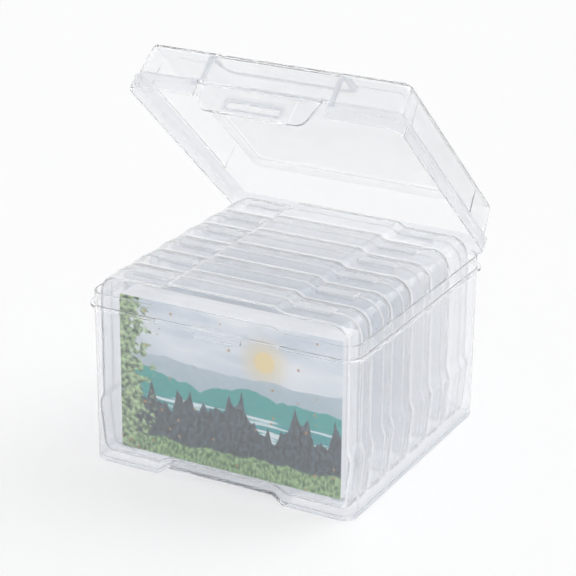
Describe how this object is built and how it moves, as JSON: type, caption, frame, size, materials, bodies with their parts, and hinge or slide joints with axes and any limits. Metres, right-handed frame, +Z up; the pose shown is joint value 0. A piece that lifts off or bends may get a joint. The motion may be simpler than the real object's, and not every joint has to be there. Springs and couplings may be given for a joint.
{
  "type": "photo keeper case",
  "caption": "Clear plastic box with a hinged, latched lid that holds a row of slim upright photo cases, the front one filled with prints.",
  "frame": {"origin": "middle of the box's underside, on the plane of its two feet", "axes": "+X to the right seen from the front, +Y towards the hinges at the back, +Z up"},
  "size_m": [0.1874, 0.2048, 0.2514],
  "materials": {
    "clear_plastic": "clear, glossy moulded polystyrene",
    "photo_paper": "glossy photographic print",
    "paper_stack": "white edges and back of photographic paper"
  },
  "bodies": {
    "box": {"base_box": "clear_plastic"},
    "lid": {"lid": "clear_plastic"},
    "latch": {"front_latch": "clear_plastic"},
    "case_1": {"case_1_front": "clear_plastic", "case_1_back": "clear_plastic", "photo_print": "photo_paper", "print_stack": "paper_stack"},
    "case_2": {"case_2_front": "clear_plastic", "case_2_back": "clear_plastic"},
    "case_3": {"case_3_front": "clear_plastic", "case_3_back": "clear_plastic"},
    "case_4": {"case_4_front": "clear_plastic", "case_4_back": "clear_plastic"},
    "case_5": {"case_5_front": "clear_plastic", "case_5_back": "clear_plastic"},
    "case_6": {"case_6_front": "clear_plastic", "case_6_back": "clear_plastic"}
  },
  "joints": [
    {"name": "lid_hinge", "type": "hinge", "parent": "box", "child": "lid", "pos_m": [0, 0.0975, 0.104], "axis": [-1, 0, 0], "range_deg": [-41.8, 68]},
    {"name": "latch_hinge", "type": "hinge", "parent": "lid", "child": "latch", "pos_m": [0, -0.03778, 0.2385], "axis": [-1, 0, 0], "range_deg": [-10, 50]},
    {"name": "case_1_lift", "type": "slide", "parent": "box", "child": "case_1", "axis": [0, 0, 1], "range_m": [0, 0.12]},
    {"name": "case_2_lift", "type": "slide", "parent": "box", "child": "case_2", "axis": [0, 0, 1], "range_m": [0, 0.09]},
    {"name": "case_3_lift", "type": "slide", "parent": "box", "child": "case_3", "axis": [0, 0, 1], "range_m": [0, 0.1]},
    {"name": "case_4_lift", "type": "slide", "parent": "box", "child": "case_4", "axis": [0, 0, 1], "range_m": [0, 0.08]},
    {"name": "case_5_lift", "type": "slide", "parent": "box", "child": "case_5", "axis": [0, 0, 1], "range_m": [0, 0.055]},
    {"name": "case_6_lift", "type": "slide", "parent": "box", "child": "case_6", "axis": [0, 0, 1], "range_m": [0, 0.03]}
  ]
}
